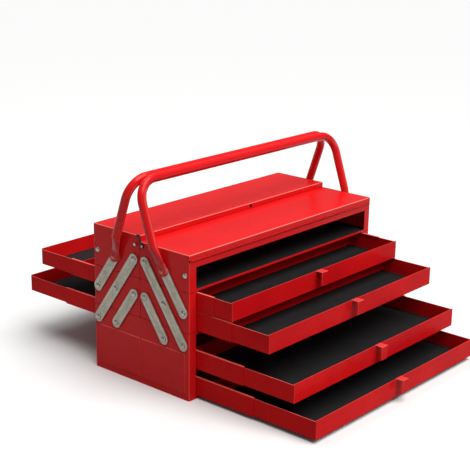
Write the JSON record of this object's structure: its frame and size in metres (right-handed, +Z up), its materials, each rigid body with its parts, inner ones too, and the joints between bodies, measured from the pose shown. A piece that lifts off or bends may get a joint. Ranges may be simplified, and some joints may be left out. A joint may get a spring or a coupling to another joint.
{
  "type": "cantilever tool box",
  "caption": "Red sheet-steel cantilever tool box whose linked trays swing apart on flat arms, with sliding drawers on both long sides and a pair of folding tube handles.",
  "frame": {"origin": "middle of the base's underside, on the surface that the box rests on", "axes": "+X along the box's length, -Y towards the side with the larger set of drawers, +Z up"},
  "size_m": [0.496, 0.643, 0.338],
  "materials": {
    "red_paint": "gloss",
    "zinc_steel": "dull galvanised",
    "rivet_steel": "dark zinc",
    "liner_rubber": "matt",
    "hinge_steel": "gloss",
    "pin_steel": "satin",
    "lock_chrome": "polished",
    "hook_steel": "semi-gloss black"
  },
  "bodies": {
    "base": {"base_shell": "red_paint", "base_rails": "red_paint", "base_rivets": "rivet_steel"},
    "mid_tray_front": {"mid_shell_front": "red_paint", "mid_rails_front": "red_paint", "mid_rivets_front": "rivet_steel"},
    "top_tray_front": {"top_shell_front": "red_paint", "top_mat_front": "liner_rubber", "tray_hinge_leaf_front": "hinge_steel", "lid_hinge_pin_front": "pin_steel", "top_rivets_front": "rivet_steel"},
    "lid_front": {"lid_front": "red_paint", "lid_hinge_leaf_front": "hinge_steel"},
    "long_arms_front": {"long_arms_front": "zinc_steel"},
    "short_arms_front": {"short_arms_front": "zinc_steel"},
    "upper_arms_front": {"upper_arms_front": "zinc_steel"},
    "handle_front": {"handle_front": "red_paint"},
    "mid_tray_back": {"mid_shell_back": "red_paint", "mid_rails_back": "red_paint", "mid_rivets_back": "rivet_steel"},
    "top_tray_back": {"top_shell_back": "red_paint", "top_mat_back": "liner_rubber", "tray_hinge_leaf_back": "hinge_steel", "lid_hinge_pin_back": "pin_steel", "top_rivets_back": "rivet_steel"},
    "lid_back": {"lid_back": "red_paint", "lid_hinge_leaf_back": "hinge_steel"},
    "long_arms_back": {"long_arms_back": "zinc_steel"},
    "short_arms_back": {"short_arms_back": "zinc_steel"},
    "upper_arms_back": {"upper_arms_back": "zinc_steel"},
    "handle_back": {"handle_back": "red_paint"},
    "lock": {"lock_barrel": "lock_chrome"},
    "lid_hook": {"lid_hook": "hook_steel"},
    "drawer_one": {"drawer_one_tray": "red_paint", "drawer_one_mat": "liner_rubber", "drawer_one_pull": "red_paint"},
    "drawer_one_slides": {"drawer_one_slides": "red_paint"},
    "drawer_two": {"drawer_two_tray": "red_paint", "drawer_two_mat": "liner_rubber", "drawer_two_pull": "red_paint"},
    "drawer_two_slides": {"drawer_two_slides": "red_paint"},
    "drawer_three": {"drawer_three_tray": "red_paint", "drawer_three_mat": "liner_rubber", "drawer_three_pull": "red_paint"},
    "drawer_three_slides": {"drawer_three_slides": "red_paint"},
    "drawer_four": {"drawer_four_tray": "red_paint", "drawer_four_mat": "liner_rubber", "drawer_four_pull": "red_paint"},
    "drawer_four_slides": {"drawer_four_slides": "red_paint"},
    "back_drawer_upper": {"back_drawer_upper_tray": "red_paint", "back_drawer_upper_mat": "liner_rubber", "back_drawer_upper_pull": "red_paint"},
    "back_drawer_upper_slides": {"back_drawer_upper_slides": "red_paint"},
    "back_drawer_lower": {"back_drawer_lower_tray": "red_paint", "back_drawer_lower_mat": "liner_rubber", "back_drawer_lower_pull": "red_paint"},
    "back_drawer_lower_slides": {"back_drawer_lower_slides": "red_paint"}
  },
  "joints": [
    {"name": "front_swing", "type": "hinge", "parent": "base", "child": "long_arms_front", "pos_m": [0, -0.093, 0.089], "axis": [1, 0, 0], "range_deg": [0, 66]},
    {"name": "front_short_arm", "type": "hinge", "parent": "base", "child": "short_arms_front", "pos_m": [0, -0.0525, 0.089], "axis": [1, 0, 0], "range_deg": [0, 66]},
    {"name": "front_mid_link", "type": "hinge", "parent": "long_arms_front", "child": "mid_tray_front", "pos_m": [0, -0.0525, 0.1465], "axis": [1, 0, 0], "range_deg": [-66, 0]},
    {"name": "front_top_link", "type": "hinge", "parent": "long_arms_front", "child": "top_tray_front", "pos_m": [0, -0.012, 0.204], "axis": [1, 0, 0], "range_deg": [-66, 0]},
    {"name": "front_upper_arm", "type": "hinge", "parent": "mid_tray_front", "child": "upper_arms_front", "pos_m": [0, -0.093, 0.1415], "axis": [1, 0, 0], "range_deg": [0, 66]},
    {"name": "front_handle_fold", "type": "hinge", "parent": "top_tray_front", "child": "handle_front", "pos_m": [0, -0.0525, 0.199], "axis": [1, 0, 0], "range_deg": [0, 90]},
    {"name": "front_lid_hinge", "type": "hinge", "parent": "top_tray_front", "child": "lid_front", "pos_m": [0, -0.104, 0.224], "axis": [1, 0, 0], "range_deg": [0, 90]},
    {"name": "back_swing", "type": "hinge", "parent": "base", "child": "long_arms_back", "pos_m": [0, 0.093, 0.089], "axis": [-1, 0, 0], "range_deg": [0, 66]},
    {"name": "back_short_arm", "type": "hinge", "parent": "base", "child": "short_arms_back", "pos_m": [0, 0.0525, 0.089], "axis": [-1, 0, 0], "range_deg": [0, 66]},
    {"name": "back_mid_link", "type": "hinge", "parent": "long_arms_back", "child": "mid_tray_back", "pos_m": [0, 0.0525, 0.1465], "axis": [-1, 0, 0], "range_deg": [-66, 0]},
    {"name": "back_top_link", "type": "hinge", "parent": "long_arms_back", "child": "top_tray_back", "pos_m": [0, 0.012, 0.204], "axis": [-1, 0, 0], "range_deg": [-66, 0]},
    {"name": "back_upper_arm", "type": "hinge", "parent": "mid_tray_back", "child": "upper_arms_back", "pos_m": [0, 0.093, 0.1415], "axis": [-1, 0, 0], "range_deg": [0, 66]},
    {"name": "back_handle_fold", "type": "hinge", "parent": "top_tray_back", "child": "handle_back", "pos_m": [0, 0.0525, 0.199], "axis": [-1, 0, 0], "range_deg": [0, 90]},
    {"name": "back_lid_hinge", "type": "hinge", "parent": "top_tray_back", "child": "lid_back", "pos_m": [0, 0.104, 0.224], "axis": [-1, 0, 0], "range_deg": [0, 90]},
    {"name": "lid_hook_pivot", "type": "hinge", "parent": "top_tray_front", "child": "lid_hook", "pos_m": [-0.2313, -0.006, 0.228], "axis": [-1, 0, 0], "range_deg": [0, 56.3]},
    {"name": "lock_turn", "type": "hinge", "parent": "lid_back", "child": "lock", "pos_m": [0.031, 0.0005, 0.2385], "axis": [0, 1, 0], "range_deg": [0, 90]},
    {"name": "drawer_one_slide", "type": "slide", "parent": "mid_tray_front", "child": "drawer_one", "axis": [0, -1, 0], "range_m": [-0.07, 0.071]},
    {"name": "drawer_one_slides_travel", "type": "slide", "parent": "mid_tray_front", "child": "drawer_one_slides", "axis": [0, -1, 0], "range_m": [-0.035, 0.0355]},
    {"name": "drawer_two_slide", "type": "slide", "parent": "mid_tray_front", "child": "drawer_two", "axis": [0, -1, 0], "range_m": [-0.141, 0]},
    {"name": "drawer_two_slides_travel", "type": "slide", "parent": "mid_tray_front", "child": "drawer_two_slides", "axis": [0, -1, 0], "range_m": [-0.0705, 0]},
    {"name": "drawer_three_slide", "type": "slide", "parent": "base", "child": "drawer_three", "axis": [0, -1, 0], "range_m": [-0.189, 0.041]},
    {"name": "drawer_three_slides_travel", "type": "slide", "parent": "base", "child": "drawer_three_slides", "axis": [0, -1, 0], "range_m": [-0.0945, 0.0205]},
    {"name": "drawer_four_slide", "type": "slide", "parent": "base", "child": "drawer_four", "axis": [0, -1, 0], "range_m": [-0.23, 0]},
    {"name": "drawer_four_slides_travel", "type": "slide", "parent": "base", "child": "drawer_four_slides", "axis": [0, -1, 0], "range_m": [-0.115, 0]},
    {"name": "back_drawer_upper_slide", "type": "slide", "parent": "mid_tray_back", "child": "back_drawer_upper", "axis": [0, 1, 0], "range_m": [-0.15, 0]},
    {"name": "back_drawer_upper_slides_travel", "type": "slide", "parent": "mid_tray_back", "child": "back_drawer_upper_slides", "axis": [0, 1, 0], "range_m": [-0.075, 0]},
    {"name": "back_drawer_lower_slide", "type": "slide", "parent": "base", "child": "back_drawer_lower", "axis": [0, 1, 0], "range_m": [-0.181, 0.049]},
    {"name": "back_drawer_lower_slides_travel", "type": "slide", "parent": "base", "child": "back_drawer_lower_slides", "axis": [0, 1, 0], "range_m": [-0.0905, 0.0245]}
  ],
  "couplings": [
    {"joint": "front_short_arm", "follows": "front_swing", "ratio": 1},
    {"joint": "front_mid_link", "follows": "front_swing", "ratio": -1},
    {"joint": "front_top_link", "follows": "front_swing", "ratio": -1},
    {"joint": "front_upper_arm", "follows": "front_swing", "ratio": 1},
    {"joint": "back_short_arm", "follows": "back_swing", "ratio": 1},
    {"joint": "back_mid_link", "follows": "back_swing", "ratio": -1},
    {"joint": "back_top_link", "follows": "back_swing", "ratio": -1},
    {"joint": "back_upper_arm", "follows": "back_swing", "ratio": 1},
    {"joint": "drawer_one_slides_travel", "follows": "drawer_one_slide", "ratio": 0.5},
    {"joint": "drawer_two_slides_travel", "follows": "drawer_two_slide", "ratio": 0.5},
    {"joint": "drawer_three_slides_travel", "follows": "drawer_three_slide", "ratio": 0.5},
    {"joint": "drawer_four_slides_travel", "follows": "drawer_four_slide", "ratio": 0.5},
    {"joint": "back_drawer_upper_slides_travel", "follows": "back_drawer_upper_slide", "ratio": 0.5},
    {"joint": "back_drawer_lower_slides_travel", "follows": "back_drawer_lower_slide", "ratio": 0.5}
  ]
}
